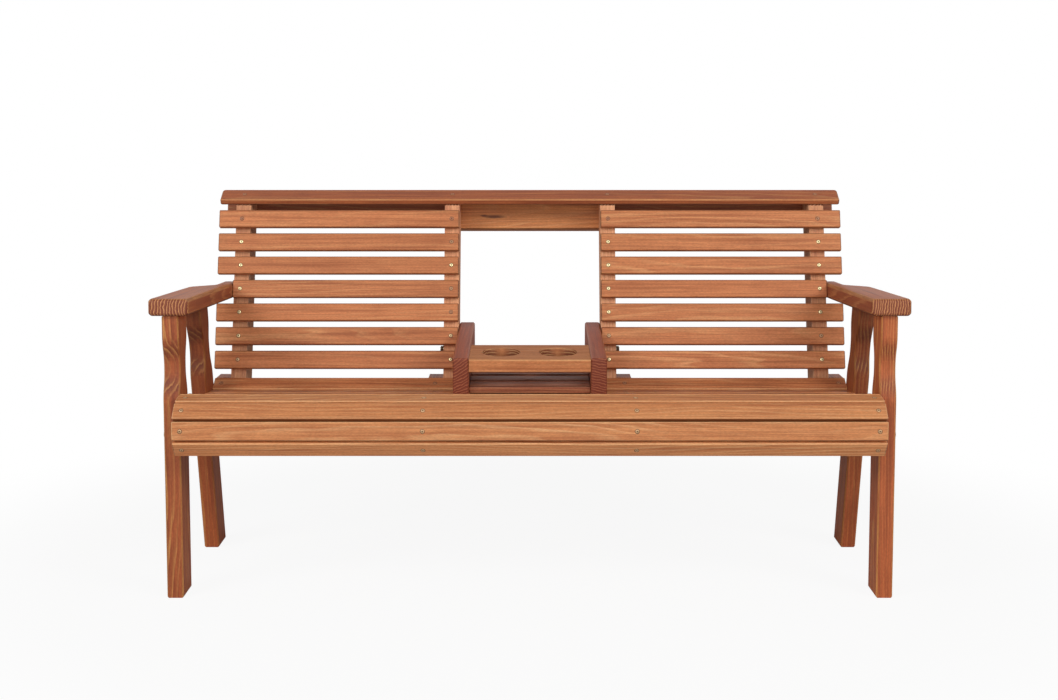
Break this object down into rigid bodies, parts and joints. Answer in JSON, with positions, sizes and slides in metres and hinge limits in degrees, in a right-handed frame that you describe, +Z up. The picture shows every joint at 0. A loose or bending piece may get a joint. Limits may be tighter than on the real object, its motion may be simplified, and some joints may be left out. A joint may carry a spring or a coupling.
{
  "type": "companion seat bench",
  "caption": "Slatted wooden porch bench with a leaning back, shaped armrests and a fold-down console with cup holes between its two seats.",
  "frame": {"origin": "on the floor, under the middle of the bench's overall box with the console folded down", "axes": "+X along the bench to the right of someone facing it, +Y from the front to the back, +Z up"},
  "size_m": [1.6848, 0.7584, 0.8881],
  "materials": {
    "stained_wood": "semi-transparent red-brown exterior stain, satin",
    "zinc_steel": "yellow zinc plated"
  },
  "bodies": {
    "bench": {"apron_slat_1": "stained_wood", "apron_slat_2": "stained_wood", "apron_slat_3": "stained_wood", "apron_slat_4": "stained_wood", "armrest_left": "stained_wood", "armrest_right": "stained_wood", "back_slat_left_1": "stained_wood", "back_slat_left_2": "stained_wood", "back_slat_left_3": "stained_wood", "back_slat_left_4": "stained_wood", "back_slat_left_5": "stained_wood", "back_slat_left_6": "stained_wood", "back_slat_left_7": "stained_wood", "back_slat_right_1": "stained_wood", "back_slat_right_2": "stained_wood", "back_slat_right_3": "stained_wood", "back_slat_right_4": "stained_wood", "back_slat_right_5": "stained_wood", "back_slat_right_6": "stained_wood", "back_slat_right_7": "stained_wood", "carriage_bolts": "zinc_steel", "carriage_nuts": "zinc_steel", "carriage_washers": "zinc_steel", "front_leg_left": "stained_wood", "front_leg_right": "stained_wood", "inner_support_left": "stained_wood", "inner_support_right": "stained_wood", "inner_upright_left": "stained_wood", "inner_upright_right": "stained_wood", "outer_support_left": "stained_wood", "outer_support_right": "stained_wood", "outer_upright_left": "stained_wood", "outer_upright_right": "stained_wood", "pivot_bolts": "zinc_steel", "pivot_nuts": "zinc_steel", "pivot_spacers": "zinc_steel", "pivot_washers": "zinc_steel", "rear_leg_left": "stained_wood", "rear_leg_right": "stained_wood", "rear_rail": "stained_wood", "rear_rail_left": "stained_wood", "rear_rail_right": "stained_wood", "seat_slat_1": "stained_wood", "seat_slat_2": "stained_wood", "seat_slat_3": "stained_wood", "seat_slat_4": "stained_wood", "seat_slat_5": "stained_wood", "seat_slat_6": "stained_wood", "seat_slat_7": "stained_wood", "seat_slat_8": "stained_wood", "top_cap": "stained_wood"},
    "console": {"console_arm_left": "stained_wood", "console_arm_right": "stained_wood", "console_slat_1": "stained_wood", "console_slat_2": "stained_wood", "console_slat_3": "stained_wood", "console_slat_4": "stained_wood", "console_slat_5": "stained_wood", "console_slat_6": "stained_wood", "cup_board": "stained_wood"}
  },
  "joints": [
    {"name": "console_fold", "type": "hinge", "parent": "bench", "child": "console", "pos_m": [0, 0.17824, 0.495], "axis": [-1, 0, 0], "range_deg": [0, 109.2]}
  ]
}
